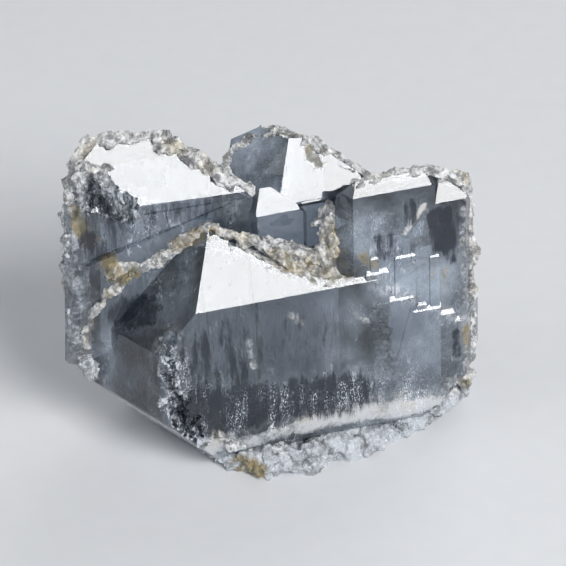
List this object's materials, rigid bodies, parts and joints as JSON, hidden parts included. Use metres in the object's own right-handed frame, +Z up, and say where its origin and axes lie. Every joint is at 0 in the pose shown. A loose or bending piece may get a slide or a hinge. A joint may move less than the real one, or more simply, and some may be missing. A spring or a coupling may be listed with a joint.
{
  "type": "faden quartz cluster",
  "caption": "Clear tabular quartz crystals grown side by side and joined in one solid, with broken white crusts on their edges and a flat rough base it stands on.",
  "frame": {"origin": "bottom centre of the bounding box, on the flat base", "axes": "+X to the right along the row of crystals, +Y away from the widest front faces, +Z up along the crystals' long axes"},
  "size_m": [0.0514, 0.0258, 0.0447],
  "materials": {
    "quartz": "clear crystal faces with mirror shine, milky and frosted where broken, faint ochre stains in the joints"
  },
  "bodies": {
    "root": {"quartz_cluster": "quartz"}
  },
  "joints": []
}
